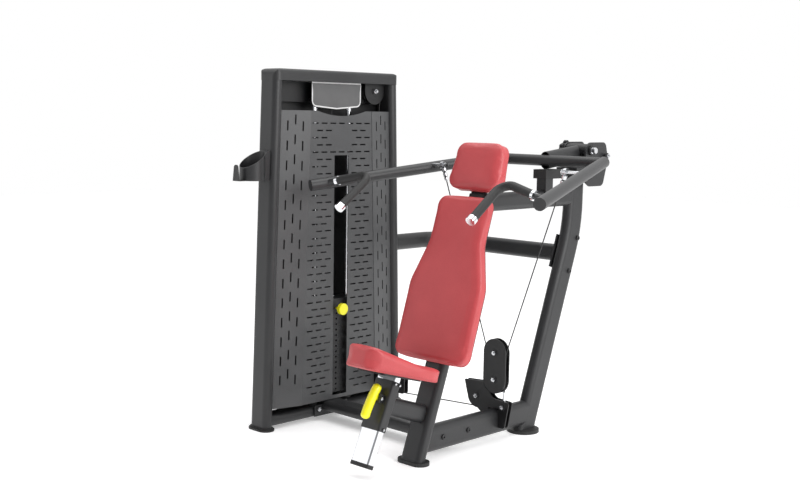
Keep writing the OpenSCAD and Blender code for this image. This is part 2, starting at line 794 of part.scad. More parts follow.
// Lower frame
floor_tube_y = 219;
floor_tube_z = 64;
flange_t = 8;
flange_w = 196;
flange_h = 50;
rail_w = tube_w - 8;
tower_side = tower_x + rail_w / 2 + weld;
module flange_plate(x, h, z) {
  translate([x, floor_tube_y - flange_w / 2, z - h / 2]) cube([flange_t, flange_w, h]);
}
module floor_tube() {
  beam_side = -tube_d / 2 - 2.5;
  color(charcoal) difference() {
    union() {
      run([tower_side + flange_t, floor_tube_y, floor_tube_z], [beam_side - flange_t, floor_tube_y, floor_tube_z])
        oval_tube(tube_w, tube_d - 4, tube_wall);
      flange_plate(tower_side, flange_h, rail_z + 6);
      flange_plate(beam_side - flange_t, flange_h + 20, floor_tube_z + 10);
    }
    below(foot_t * 0.5);
  }
}
beam_w = tube_d + 5;
module beam_section() rotate(90) oval_tube(tube_w, beam_w, tube_wall);
module base_beam() {
  color(charcoal) difference() {
    run([0, post_y(base_beam_z), base_beam_z], [0, column_line_y(base_beam_z), base_beam_z]) beam_section();
    post_body() oval(tube_w + 2 * weld, tube_d + 2 * weld);
    column_path(-tube_w, column_top_z) oval(tube_w + 2 * weld, beam_w + 2 * weld);
  }
}
module user_feet() {
  color(black) {
    linear_extrude(foot_t) oval(tube_w + 3 * foot_lip, tube_d + 2.4 * foot_lip);
    translate([0, column_line_y(0), 0]) cylinder(d = tube_w + 2.5 * foot_lip, h = foot_t);
  }
}

// Pads stand on this frame: s up the pads, y backwards, at the back pad's lower rear edge
pad_at = [0, 106, 392.6];
module pad_frame() translate(pad_at) rotate([-pad_lean, 0, 0]) children();
head_front = -29.5;
head_s = 713;
head_back = head_front + head_pad_t + crown;
bracket_t = 8;
bracket_w = 80;
lid_t = 4;
module front_post() {
  color(charcoal) {
    difference() {
      post_body() oval(tube_w, tube_d);
      difference() {
        post_body() oval(tube_w - 2 * tube_wall, tube_d - 2 * tube_wall);
        above(post_top_z - lid_t);
      }
      below(foot_z);
      above(post_top_z);
    }
    difference() {
      pad_frame() for (s = [70, 430]) translate([-bracket_w / 2, 0, s]) cube([bracket_w, tube_d, 70]);
      post_body() oval(tube_w + 2 * weld, tube_d + 2 * weld);
      pad_frame() translate([0, far / 2 + tube_d / 2 + 6, 0]) cube(far, center = true);
      pad_frame() translate([0, weld - far / 2, 0]) cube(far, center = true);
    }
    difference() {
      pad_frame() translate([-bracket_w / 2, head_back, head_s - 60]) cube([bracket_w, bracket_t, head_l]);
      below(post_top_z);
    }
  }
}
module rear_column() {
  color(charcoal) difference() {
    column_path(-tube_w, column_top_z) oval_tube(tube_w, beam_w, tube_wall);
    below(foot_z);
  }
}
module cross_tube() rotate(90) oval_tube(cross_h, tube_d, tube_wall);
// Top beam with the post of the arm's stop on it
module top_beam() {
  color(charcoal) difference() {
    run([0, post_y(top_beam_z), top_beam_z], [0, column_top_y, top_beam_z]) cross_tube();
    post_body() oval(tube_w + 2 * weld, tube_d + 2 * weld);
    column_path(-tube_w, column_top_z) oval(tube_w + 6 * weld, beam_w + 6 * weld);
  }
  color(charcoal) difference() {
    translate([-stop_w / 2, stop_y - stop_w / 2, top_beam_z]) cube([stop_w, stop_w, stop_post_top - top_beam_z]);
    run([0, 0, top_beam_z], [0, column_top_y, top_beam_z])
      rotate(90) oval(cross_h + 2 * weld, tube_d + 2 * weld);
  }
}
mid_corner_y = column_line_y(mid_beam_z) - 4;
module mid_beam() {
  color(charcoal) difference() {
    pipe([[tower_x, tower_y + upright_half(mid_beam_z), mid_beam_z], [tower_x, mid_corner_y, mid_beam_z],
          [-beam_w / 2 - flange_t, mid_corner_y, mid_beam_z]], 110) cross_tube();
    translate([0, tower_y + tower_half, 0]) rotate([tower_lean, 0, 0])
      translate([-far / 2, tube_d / 2 - far, -far / 2]) cube(far);
  }
  color(charcoal) translate([-beam_w / 2 - flange_t, mid_corner_y, mid_beam_z]) rotate([-column_lean, 0, 0])
    translate([0, -48, -75]) cube([flange_t - weld, 96, 150]);
}

// Pivot on top of the column
ear_in = hub_half + 1.5;
ear_out = ear_in + ear_t;
saddle_top = column_top_z + 40;
// Points of the side plates, given from the pivot
function by_pivot(p) = [pivot_y + p[0], pivot_z + p[1]];
spacer = by_pivot([110, -25]);
ear_bolt = by_pivot([-12, -119]);
ear_points = [[-34, -138], [0, -160], [102, -160], [138, -40], [116, 36], [-34, 36]];
ear_outline = rounded([for (p = ear_points) by_pivot(p)], [14, 18, 26, 40, 26, 40]);
module ear(x0) {
  difference() {
    yz_plate(x0, ear_t) polygon(ear_outline);
    translate([0, pivot_y, pivot_z]) rotate([0, 90, 0]) cylinder(d = pivot_d + 0.1, h = far, center = true);
  }
}
module pivot_bracket() {
  color(charcoal) {
    ear(ear_in);
    ear(-ear_out);
    translate([-ear_in, column_top_y - tube_w / 2, column_top_z])
      cube([2 * ear_in, tube_w, saddle_top - column_top_z]);
    translate([-ear_in, spacer[0], spacer[1]]) rotate([0, 90, 0]) cylinder(d = 26, h = 2 * ear_in);
    for (b = [spacer, ear_bolt], s = [-1, 1]) translate([s * ear_out, b[0], b[1]])
      rotate([0, s * 90, 0]) cylinder(d = 20, h = 14);
    translate([ear_out, pivot_y, pivot_z]) rotate([0, 90, 0]) linear_extrude(bush_l)
      ring(pivot_d + 12, pivot_d + 0.1);
    difference() {
      translate([-ear_out, pivot_y, pivot_z]) rotate([0, -90, 0]) {
        cylinder(d = 62, h = 24);
        for (a = [0:60:300]) rotate(a) translate([33, 0, 0]) cylinder(d = 20, h = 16);
      }
      translate([0, pivot_y, pivot_z]) rotate([0, 90, 0]) cylinder(d = pivot_d + 0.1, h = far, center = true);
    }
  }
}
bush_l = 12;
nut_l = 16;
module pivot_axle() {
  color(chrome) translate([-ear_out - 20, pivot_y, pivot_z]) rotate([0, 90, 0]) {
    cylinder(d = pivot_d, h = 2 * ear_out + 20 + bush_l + 2);
    translate([0, 0, 2 * ear_out + 20 + bush_l + 2]) cylinder(d = pivot_d - 2, h = nut_l, $fn = 6);
  }
}

// Stop that the resting arm sits on
stop_y = 798;
stop_w = 50;
stop_post_top = 1106;
spine_rise = atan((pivot_z - 14 - elbow_z) / (pivot_y - elbow_y));
function spine_z(y) = elbow_z + (y - elbow_y) * tan(spine_rise);
stop_gap = 0.3;
stop_block_w = 68;
stop_block_l = 120;
spine_bottom = elbow_z - spine_h / 2 / cos(spine_rise);
module stop_block() {
  color(black) translate([-stop_block_w / 2, stop_y - 39, stop_post_top])
    cube([stop_block_w, stop_block_l, spine_bottom - stop_gap - stop_post_top]);
}

// Press arm: two arm tubes, a crossbar and a spine that runs to the hub
arm_front = [arm_x, arm_y, arm_z];
arm_rear = [elbow_x, elbow_y, elbow_z];
arm_dir = unit(arm_rear - arm_front);
function arm_at(s) = arm_front + arm_dir * s;
grip_root = arm_at(70);
grip_corner = [347, 94, 1130];
grip_end = [350, -90, 996];
grip_pts = [grip_root, grip_corner, grip_end];
collar_s = 58;
module arm_body(grow = 0) {
  run(arm_front, arm_rear + arm_dir * arm_d / 2) circle(d = arm_d + 2 * grow);
}
module press_arm() {
  color(charcoal) difference() {
    arm_body();
    run(arm_at(4), arm_rear + arm_dir * (arm_d / 2 - 4)) circle(d = arm_d - 2 * tube_wall);
  }
}
module grip_bar() {
  color(charcoal) difference() {
    pipe(grip_pts, grip_bend) circle(d = grip_d);
    arm_body(weld);
  }
}
module grip_bar_left() grip_bar();
module grip_bar_right() mirror([1, 0, 0]) grip_bar();
module press_arm_left() press_arm();
module press_arm_right() mirror([1, 0, 0]) press_arm();
module both_arms(grow) {
  arm_body(grow);
  mirror([1, 0, 0]) arm_body(grow);
}
module press_crossbar() {
  color(charcoal) difference() {
    run([-elbow_x, elbow_y, elbow_z], [elbow_x, elbow_y, elbow_z]) ring(arm_d, arm_d - 2 * tube_wall);
    both_arms(weld);
  }
}
spine_end = 34;
module spine_body(grow) {
  a = [0, elbow_y, elbow_z];
  b = [0, pivot_y + spine_end, spine_z(pivot_y + spine_end)];
  run(a, b) rotate(90) oval(spine_h + 2 * grow, tube_d + 2 * grow);
}
module press_spine() {
  color(charcoal) difference() {
    spine_body(0);
    intersection() {
      spine_body(-tube_wall);
      translate([-far / 2, pivot_y + spine_end - 5 - far, 0]) cube(far);
    }
    run([-elbow_x, elbow_y, elbow_z], [elbow_x, elbow_y, elbow_z]) circle(d = arm_d + 2 * weld);
    translate([0, pivot_y, pivot_z]) rotate([0, 90, 0]) cylinder(d = hub_d, h = far, center = true);
    translate([-far / 2, elbow_y - far, 0]) cube(far);
  }
}
module pivot_hub() {
  color(black) translate([-hub_half, pivot_y, pivot_z]) rotate([0, 90, 0])
    linear_extrude(2 * hub_half) ring(hub_d, pivot_d + 2 * axle_clear);
}

// Grips: rubber over the bent bar, with chrome at both ends
grip_dir = unit(grip_corner - grip_root);
sleeve_start = grip_root + grip_dir * (collar_s + 10);
end_dir = unit(grip_end - grip_corner);
module grip_sleeve() {
  color(black) pipe([sleeve_start, grip_corner, grip_end - end_dir * 14.2], grip_bend) ring(sleeve_d, grip_d + 0.2);
}
module grip_sleeve_left() grip_sleeve();
module grip_sleeve_right() mirror([1, 0, 0]) grip_sleeve();
module grip_collars() {
  color(chrome) for (side = [0, 1]) mirror([side, 0, 0]) {
    run(sleeve_start - grip_dir * 14, sleeve_start - grip_dir * 0.2) ring(collar_d, grip_d + 0.2);
    run(grip_end - end_dir * 14, grip_end + end_dir * 0.1) ring(collar_d, grip_d + 0.2);
    run(grip_end + end_dir * 0.1, grip_end + end_dir * 6) circle(d = collar_d);
  }
}

// Cable lugs on the arms and the two legs of the cable that hang from them
eye = [330, cable_y, 1156];
eye_pin = 12;
lug_root = arm_at((cable_y - arm_y) / arm_dir[1]);
module cable_lugs() {
  color(chrome) for (side = [0, 1]) mirror([side, 0, 0]) difference() {
    translate(eye) rotate([0, 90, 0]) {
      translate([0, 0, -16]) cylinder(d = eye_pin, h = lug_root[0] - eye[0] + 16);
      translate([0, 0, -20]) cylinder(d = eye_pin + 8, h = 5);
    }
    arm_body(weld);
    translate([lug_root[0], 0, 0]) cube(far);
  }
}
leg_reach = norm(eye - block_up);
leg_turn = atan2(eye[2] - block_up[2], eye[0]) - acos(pulley_r / leg_reach);
leg_foot = block_up + pulley_r * [cos(leg_turn), 0, sin(leg_turn)];
leg_dir = unit(leg_foot - eye);
ferrule = 46;
// Length of cable that stays with the floating block on each side
leg_stub = 42;
module v_cable() {
  color(black) {
    difference() {
      union() {
        translate(eye - [6, 0, 0]) rotate([0, 90, 0]) cylinder(d = eye_pin + 16, h = 12);
        run(eye, eye + leg_dir * (20 + ferrule)) circle(d = 13);
      }
      translate(eye) rotate([0, 90, 0]) cylinder(d = eye_pin + 2 * axle_clear, h = far, center = true);
    }
    cable_run(eye + leg_dir * (20 + ferrule), leg_foot - leg_dir * (leg_stub + 0.3));
  }
}
module v_cable_left() v_cable();
module v_cable_right() mirror([1, 0, 0]) v_cable();

// Floating block between the legs and the lifting cable
module cheek_outline() {
  for (at = [block_low, block_up]) translate([at[0], at[2]]) circle(cheek_r);
  translate([-cheek_r, block_z]) square([2 * cheek_r, block_gap]);
}
module block_plates() {
  color(black) {
    for (y = [cable_y - cheek_out, cable_y + cheek_in]) xz_plate(y, cheek_t) cheek_outline();
    for (at = [block_low, block_up]) axle_y(at, cheek_out + 6);
  }
}
module block_cable() {
  color(black) {
    wrap_y(block_up, -180 - leg_turn, leg_turn);
    wrap_y(block_low, 0, 180);
    for (side = [0, 1]) mirror([side, 0, 0]) cable_run(leg_foot, leg_foot - leg_dir * leg_stub);
  }
}
module lift_cables() {
  color(black) for (x = [-pulley_r, pulley_r])
    translate([x, cable_y, low_z]) cylinder(d = cable_d, h = block_z - low_z, $fn = 16);
}

// Bracket of the low pulley, astride the base beam, with the cable's anchor
anchor_z = low_z - 26;
module low_pulley_bracket() {
  beam_top = base_beam_z + tube_w / 2;
  low_x = low_axle[0];
  outline = [[low_x - 68, low_z + 62], [low_x + 56, low_z + 70], [-10, low_z + 4], [pulley_r + 36, anchor_z + 24],
    [pulley_r + 14, base_beam_z - 23], [beam_w / 2, base_beam_z - 25], [beam_w / 2, beam_top],
    [-beam_w / 2, beam_top], [-beam_w / 2 - 4, base_beam_z + 29], [low_x + 26, low_z - 66], [low_x - 50, low_z - 4]];
  color(black) {
    for (y = [cable_y - cheek_out, cable_y + cheek_in]) xz_plate(y, cheek_t) difference() {
      polygon(rounded(outline, [4, 10, 34, 10, 10, 2, 0.5, 0.5, 3, 24, 40]));
      translate([block_low[0], block_low[2]]) circle(cheek_r + 2);
      translate([0, base_beam_z]) rotate(90) oval(tube_w + 2 * weld, beam_w + 2 * weld);
    }
    axle_y(low_axle, cheek_out + 6);
    axle_y([pulley_r, cable_y, anchor_z], cheek_out + 6);
  }
}
anchor_top = anchor_z + 64;
module cable_anchor() {
  at = [pulley_r, cable_y, anchor_z];
  color(chrome) difference() {
    union() {
      translate(at - [0, 7, 0]) rotate([-90, 0, 0]) cylinder(d = 26, h = 14);
      translate(at) cylinder(d = 14, h = anchor_top - anchor_z);
    }
    translate(at) rotate([90, 0, 0]) cylinder(d = axle_d + 0.2, h = far, center = true);
    translate([at[0], at[1], low_z - 1]) cylinder(d = cable_d + 1, h = far);
  }
}

// Seat on its sliding post
sleeve_at = [0, -228, 177];
module seat_post_frame() translate(sleeve_at) rotate([-seat_post_lean, 0, 0]) children();
seat_at = [0, -153, 386];
module seat_frame() translate(seat_at) rotate([-seat_tilt, 0, 0]) children();
seat_outline = let (l = seat_l / 2, f = seat_front_w / 2, r = seat_rear_w / 2)
  rounded([[-f, -l], [f, -l], [r, l * 0.35], [r, l], [-r, l], [-r, l * 0.35]], [46, 46, 150, 60, 60, 150]);
seat_plate_t = 8;
module seat_pad() {
  color(red) seat_frame()
    pad(seat_outline, seat_t - crown, crown * 0.5, function (p) let (u = p[1] / seat_l + 0.5)
      1 - 0.48 * pow(sin(90 * max(0, min(1, u / 0.7))), 1.3) + 0.05 * u);
}
module seat_plate() {
  color(black) seat_frame() translate([0, 10, -seat_plate_t]) linear_extrude(seat_plate_t) soft_box(seat_rear_w * 0.53, seat_l * 0.64, 14);
}
seat_tube_low = -138;
module seat_tube() {
  color(chrome) difference() {
    seat_post_frame() {
      translate([0, 0, seat_tube_low]) linear_extrude(seat_sleeve_l + 260) difference() {
        soft_box(seat_tube_w, seat_tube_d, 8);
        soft_box(seat_tube_w - 2 * tube_wall, seat_tube_d - 2 * tube_wall, 5);
      }
      translate([0, 0, seat_tube_low]) linear_extrude(6) soft_box(seat_tube_w, seat_tube_d, 8);
    }
    seat_frame() translate([0, 0, far / 2 - seat_plate_t]) cube(far, center = true);
  }
}
sleeve_w = seat_tube_w + 2 * slide_gap + 2 * seat_sleeve_wall;
sleeve_depth = seat_tube_d + 2 * slide_gap + 2 * seat_sleeve_wall;
strut_a = [0, -172, 265];
strut_b = [0, 70, 182];
module seat_sleeve() {
  color(charcoal) {
    difference() {
      union() {
        seat_post_frame() linear_extrude(seat_sleeve_l) soft_box(sleeve_w, sleeve_depth, 10);
        difference() {
          run(strut_a, strut_b) cross_tube();
          post_body() oval(tube_w + 2 * weld, tube_d + 2 * weld);
        }
        for (x = [-26, 18]) seat_post_frame() translate([x, -sleeve_depth / 2 - 22, 104]) cube([8, 24, 32]);
      }
      seat_post_frame() translate([0, 0, -far / 2]) linear_extrude(far)
        soft_box(seat_tube_w + 2 * slide_gap, seat_tube_d + 2 * slide_gap, 8 + slide_gap);
      seat_post_frame() lever_bore(10);
    }
  }
}
lever_pin_s = 120;
lever_pin_y = -sleeve_depth / 2 - 12;
module lever_bore(d) translate([0, lever_pin_y, lever_pin_s]) rotate([0, 90, 0]) cylinder(d = d, h = 120, center = true);
lever_bow = 430;
lever_turn = [0.4, 15.6];
module lock_lever() {
  color(yellow) seat_post_frame() {
    frame([0, lever_pin_y - 30 + lever_bow, 40], [0, -1, 0], [0, 0, 1], [-1, 0, 0]) rotate(lever_turn[0])
      rotate_extrude(angle = lever_turn[1] - lever_turn[0], $fn = 360) translate([lever_bow, 0])
      circle(d = lever_d);
    translate([-14, lever_pin_y - 24, lever_pin_s - 9]) cube([28, 28, 18]);
    translate([0, lever_pin_y, lever_pin_s]) rotate([0, 90, 0]) cylinder(d = 9.9, h = 58, center = true);
  }
}

back_outline = let (w = back_w / 2, t = back_top_w / 2)
  rounded([[-w, 0], [w, 0], [w, back_l * 0.46], [t, back_l * 0.72], [t, back_l], [-t, back_l],
           [-t, back_l * 0.72], [-w, back_l * 0.46]], [44, 44, 170, 170, 44, 44, 170, 170]);
module back_pad() {
  pad_frame() rotate([90, 0, 0]) {
    color(black) linear_extrude(board_t) offset(delta = -8) polygon(back_outline);
    color(red) translate([0, 0, board_t]) pad(back_outline, back_t, crown, function (p) 1);
  }
}
head_outline = let (w = head_w / 2, t = head_top_w / 2)
  rounded([[-w, 0], [w, 0], [t, head_l], [-t, head_l]], [48, 48, 44, 44]);
module head_pad() {
  color(red) pad_frame() translate([0, head_back, head_s]) rotate([90, 0, 0])
    pad(head_outline, head_pad_t, crown, function (p) 1);
}

tower_front_upright();
tower_rear_upright();
tower_cap();
tower_feet();
tower_base_rail();
front_shroud();
rear_cover();
placard();
guide_rods();
head_frame();
top_pulley_centre();
top_pulley_rear();
bottom_pulley_bracket();
bottom_pulley();
stack_bumpers();
weight_plates();
lifted_weights();
selector_stem();
selector_pin();
drive_cable();
stack_cable();
cup_holder();
floor_tube();
base_beam();
user_feet();
front_post();
rear_column();
top_beam();
mid_beam();
pivot_bracket();
pivot_axle();
stop_block();
press_arm_left();
press_arm_right();
grip_bar_left();
grip_bar_right();
press_crossbar();
press_spine();
pivot_hub();
grip_sleeve_left();
grip_sleeve_right();
grip_collars();
cable_lugs();
v_cable_left();
v_cable_right();
block_plates();
block_upper_pulley();
block_lower_pulley();
block_cable();
low_pulley_bracket();
low_pulley();
cable_anchor();
lift_cables();
seat_pad();
seat_plate();
seat_tube();
seat_sleeve();
lock_lever();
back_pad();
head_pad();
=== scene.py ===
# %% [markdown]
# # Seated press machine
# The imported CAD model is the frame. This notebook dresses it: finishes for every steel, rubber
# and plastic part, cushions swollen by a cloth simulation, and the bolts, caps and seams that
# the solids leave out. Everything is in metres, in the frame of the CAD model: the user faces
# -Y, +X is the user's left and Z is up.

# %% Load the frame
import math

import bmesh
import bpy
from mathutils import Matrix, Vector


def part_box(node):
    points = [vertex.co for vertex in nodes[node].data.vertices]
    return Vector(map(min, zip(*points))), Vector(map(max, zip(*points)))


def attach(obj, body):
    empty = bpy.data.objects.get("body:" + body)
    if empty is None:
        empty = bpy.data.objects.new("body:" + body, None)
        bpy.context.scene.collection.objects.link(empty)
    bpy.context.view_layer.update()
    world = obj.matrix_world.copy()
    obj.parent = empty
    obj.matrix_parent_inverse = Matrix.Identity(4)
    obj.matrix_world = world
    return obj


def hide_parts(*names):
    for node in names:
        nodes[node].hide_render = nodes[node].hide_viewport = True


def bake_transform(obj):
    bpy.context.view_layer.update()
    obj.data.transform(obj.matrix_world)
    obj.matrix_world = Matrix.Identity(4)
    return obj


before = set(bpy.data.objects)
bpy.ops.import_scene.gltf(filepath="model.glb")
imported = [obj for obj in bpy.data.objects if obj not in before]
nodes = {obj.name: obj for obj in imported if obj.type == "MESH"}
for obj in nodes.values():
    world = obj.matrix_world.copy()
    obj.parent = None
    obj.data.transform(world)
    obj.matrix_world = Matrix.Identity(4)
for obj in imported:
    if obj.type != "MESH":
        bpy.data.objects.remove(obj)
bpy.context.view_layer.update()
scene = bpy.context.scene

# %% [markdown]
# ## Shader arithmetic
# A shader is a graph of nodes. Wrapping a socket in a small class lets the graph be written as
# arithmetic: `0.4 + 0.1 * noise` makes two Math nodes. Any other node comes from `node`.


# %% Socket wrapper
class Sock:
    """One output socket that can be used in sums."""

    def __init__(self, tree, socket):
        self.tree, self.socket = tree, socket

    def node(self, kind, inputs=None, out=0, **settings):
        made = self.tree.nodes.new("ShaderNode" + kind)
        for key, value in settings.items():
            setattr(made, key, value)
        for key, value in (inputs or {}).items():
            plug(self.tree, made.inputs[key], value)
        return Sock(self.tree, made.outputs[out])

    def maths(self, operation, *values):
        return self.node("Math", dict(enumerate(values)), operation=operation)

    def __add__(self, other):
        return self.maths("ADD", self, other)

    def __sub__(self, other):
        return self.maths("SUBTRACT", self, other)

    def __mul__(self, other):
        return self.maths("MULTIPLY", self, other)

    __radd__ = __add__
    __rmul__ = __mul__

    def ramp(self, low, high):
        """0 below low, 1 above high, smooth between."""
        names = {"Value": self, "From Min": low, "From Max": high}
        return self.node("MapRange", names, interpolation_type="SMOOTHSTEP")

    def between(self, dark, light):
        """A colour from dark (0) to light (1)."""
        made = self.tree.nodes.new("ShaderNodeMix")
        made.data_type = "RGBA"
        plug(self.tree, made.inputs[0], self)
        plug(self.tree, made.inputs[6], rgba(dark))
        plug(self.tree, made.inputs[7], rgba(light))
        return Sock(self.tree, made.outputs[2])


def rgba(colour):
    return colour if isinstance(colour, Sock) else (*colour[:3], 1.0)


def plug(tree, socket, value):
    if isinstance(value, Sock):
        tree.links.new(value.socket, socket)
    else:
        socket.default_value = value


# %% [markdown]
# ## Finishes
# `surface` starts a material and hands it back with its shader and the object coordinates. A
# finish then says how colour, roughness and bump vary, each at its real scale: the orange peel
# of powder coat is about a millimetre, scuffs are centimetres.


# %% Material helpers
def surface(name, **constants):
    mat = bpy.data.materials.new(name)
    mat.use_nodes = True
    tree = mat.node_tree
    shader = tree.nodes["Principled BSDF"]
    for key, value in constants.items():
        shader.inputs[key.replace("_", " ").title()].default_value = value
    place = Sock(tree, tree.nodes.new("ShaderNodeTexCoord").outputs["Object"])
    return mat, shader, place


def noise(place, scale, detail=3.0, rough=0.55):
    inputs = {"Vector": place, "Scale": scale, "Detail": detail, "Roughness": rough}
    return place.node("TexNoise", inputs)


def cells(place, scale):
    inputs = {"Vector": place, "Scale": scale}
    return place.node("TexVoronoi", inputs, feature="DISTANCE_TO_EDGE")


def dress(shader, colour, rough, height=None, depth=0.0005, strength=0.4):
    tree = shader.id_data
    plug(tree, shader.inputs["Base Color"], colour)
    plug(tree, shader.inputs["Roughness"], rough)
    if height is not None:
        inputs = {"Height": height, "Strength": strength, "Distance": depth}
        plug(tree, shader.inputs["Normal"], height.node("Bump", inputs))


# %% Painted steel
def painted(name, dark, light, rough, peel=700.0):
    mat, shader, place = surface(name)
    fine = noise(place, peel, 2.0)
    cloud = noise(place, 5.0, 4.0)
    scuff = noise(place, 60.0, 6.0, 0.7).ramp(0.62, 0.78)
    dress(
        shader,
        colour=(0.65 * cloud + 0.35 * fine).ramp(0.3, 0.7).between(dark, light),
        rough=rough + 0.10 * cloud + 0.06 * scuff - 0.05,
        height=fine + 0.4 * scuff,
        depth=0.0004,
        strength=0.35,
    )
    return mat


charcoal = painted("frame_powder_coat", (0.0145, 0.0148, 0.0158), (0.0215, 0.0218, 0.0230), 0.42)
sheet_grey = painted("sheet_powder_coat", (0.051, 0.052, 0.054), (0.071, 0.072, 0.074), 0.46)
black_steel = painted("black_steel", (0.004, 0.004, 0.0045), (0.009, 0.009, 0.010), 0.40)
plate_paint = painted("plate_paint", (0.008, 0.008, 0.009), (0.020, 0.020, 0.021), 0.44, 450.0)
print("painted steels:", [m.name for m in (charcoal, sheet_grey, black_steel, plate_paint)])


# %% Chrome, rubber and plastics
def bright_metal(name, colour, rough):
    mat, shader, place = surface(name, metallic=1.0)
    smear = noise(place, 40.0, 5.0)
    dress(
        shader,
        colour=smear.between([v * 0.94 for v in colour], colour),
        rough=rough + 0.10 * smear.ramp(0.45, 0.75),
        height=noise(place, 900.0, 2.0),
        depth=0.0001,
        strength=0.08,
    )
    return mat


def soft_plastic(name, dark, light, rough, grain, strength, coat=0.0):
    mat, shader, place = surface(name, coat_weight=coat)
    fine = noise(place, grain, 3.0)
    cloud = noise(place, 14.0, 4.0)
    dress(
        shader,
        colour=(0.5 * cloud + 0.5 * fine).ramp(0.3, 0.7).between(dark, light),
        rough=rough + 0.14 * cloud - 0.07,
        height=fine,
        depth=0.0005,
        strength=strength,
    )
    return mat


chrome = bright_metal("chrome", (0.80, 0.81, 0.83), 0.07)
zinc = bright_metal("bright_bolt_steel", (0.62, 0.63, 0.65), 0.22)

# Each row: dark and light colour, roughness, grain, strength of the grain, clear coat
rubber = soft_plastic("black_rubber", [0.008] * 3, [0.022] * 3, 0.62, 500.0, 0.5)
nylon = soft_plastic("black_nylon", [0.010] * 3, (0.020, 0.020, 0.021), 0.40, 900.0, 0.15)
jacket = soft_plastic("cable_jacket", [0.004] * 3, [0.010] * 3, 0.35, 1200.0, 0.2)
yellow = soft_plastic(
    "yellow_plastic", (0.86, 0.80, 0.010), (0.95, 0.91, 0.016), 0.34, 800.0, 0.12, 0.25
)
plate_grey = soft_plastic(
    "placard_grey", (0.085, 0.085, 0.086), (0.105, 0.105, 0.106), 0.42, 300.0, 0.1
)
pale = soft_plastic("pale_border", [0.62] * 3, [0.70] * 3, 0.45, 300.0, 0.1)
thread = soft_plastic("red_thread", (0.30, 0.030, 0.035), (0.42, 0.045, 0.05), 0.6, 900.0, 0.6)
board = soft_plastic("black_board", [0.010] * 3, [0.022] * 3, 0.55, 400.0, 0.3)
print("metals and plastics ready")


# %% [markdown]
# Vinyl has a pebbled grain: cells about 1.5 mm across with soft valleys between them, and a
# slow change of tone where it is stretched.


# %% Vinyl
def vinyl(name, dark, light):
    mat, shader, place = surface(name, coat_weight=0.05)
    pebble = cells(place, 620.0).ramp(0.0, 0.35)
    cloud = noise(place, 7.0, 4.0)
    dress(
        shader,
        colour=(0.75 * cloud + 0.25 * pebble).ramp(0.2, 0.8).between(dark, light),
        rough=0.40 + 0.12 * cloud - 0.06 * pebble,
        height=pebble + 0.5 * noise(place, 90.0, 3.0),
        depth=0.0003,
        strength=0.22,
    )
    return mat


red = vinyl("red_vinyl", (0.425, 0.046, 0.052), (0.515, 0.066, 0.072))
red_seam = vinyl("red_seam", (0.38, 0.040, 0.046), (0.47, 0.056, 0.062))
print("vinyl ready")

# %% [markdown]
# ## Dress the CAD nodes
# A CAD node whose shape is right keeps it and only gets a finish.

# %% Assign finishes
finish_of = {
    charcoal: "tower_front_upright tower_rear_upright tower_cap tower_base_rail floor_tube"
    " base_beam front_post rear_column top_beam mid_beam press_arm_left press_arm_right grip_bar_left"
    " grip_bar_right press_crossbar press_spine pivot_bracket seat_sleeve cup_holder",
    sheet_grey: "front_shroud",
    plate_grey: "placard",
    # head_frame is black partly as painted shade: it stands in the shaded band between the cap and
    # the shroud
    black_steel: "head_frame bottom_pulley_bracket rear_cover pivot_hub block_plates"
    " low_pulley_bracket seat_plate",
    plate_paint: "weight_plates lifted_weights",
    chrome: "guide_rods selector_stem pivot_axle grip_collars cable_lugs cable_anchor seat_tube",
    rubber: "tower_feet user_feet stack_bumpers stop_block grip_sleeve_left grip_sleeve_right",
    nylon: "top_pulley_centre top_pulley_rear bottom_pulley block_upper_pulley"
    " block_lower_pulley low_pulley",
    jacket: "drive_cable stack_cable v_cable_left v_cable_right block_cable lift_cables",
    yellow: "selector_pin lock_lever",
}
for material, names in finish_of.items():
    for name in names.split():
        mesh = nodes[name].data
        mesh.materials.clear()
        mesh.materials.append(material)
finished = set(" ".join(finish_of.values()).split())
print("dressed later as cushions:", [name for name in nodes if name not in finished])


# %% [markdown]
# ## Shape helpers
# Small parts are turned: a profile of radius and height is spun about an axis, in six steps for
# a nut and in many for a washer. Seams and cords are swept: circles along a path, bridged.


# %% Shape helpers
def link(obj, body, material):
    scene.collection.objects.link(obj)
    obj.data.materials.clear()
    obj.data.materials.append(material)
    if body:
        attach(obj, body)
    return obj


SHARP_EDGE = math.radians(32.0)


def piece(name, bm, body, material):
    """A bmesh becomes a shown piece that rides on a body."""
    bmesh.ops.recalc_face_normals(bm, faces=bm.faces)
    mesh = bpy.data.meshes.new(name)
    bm.to_mesh(mesh)
    bm.free()
    mesh.shade_smooth()
    mesh.set_sharp_from_angle(angle=SHARP_EDGE)
    return link(bpy.data.objects.new(name, mesh), body, material)


def add_to(bm, part, place):
    """Put one small bmesh into another at a place."""
    bmesh.ops.transform(part, matrix=place, verts=part.verts)
    mesh = bpy.data.meshes.new("part")
    part.to_mesh(mesh)
    part.free()
    bm.from_mesh(mesh)
    bpy.data.meshes.remove(mesh)


def facing(at, axis):
    return Matrix.Translation(at) @ Vector(axis).to_track_quat("Z", "Y").to_matrix().to_4x4()


def turned(bm, profile, at, axis, sides=32):
    """Spin (radius, height) pairs, in metres, about an axis through a point."""
    part = bmesh.new()
    line = [part.verts.new((radius, 0.0, height)) for radius, height in profile]
    edges = [part.edges.new(pair) for pair in zip(line, line[1:])]
    bmesh.ops.spin(
        part, geom=line + edges, axis=(0, 0, 1), cent=(0, 0, 0), angle=math.tau, steps=sides
    )
    bmesh.ops.remove_doubles(part, verts=part.verts, dist=1e-6)
    add_to(bm, part, facing(at, axis))


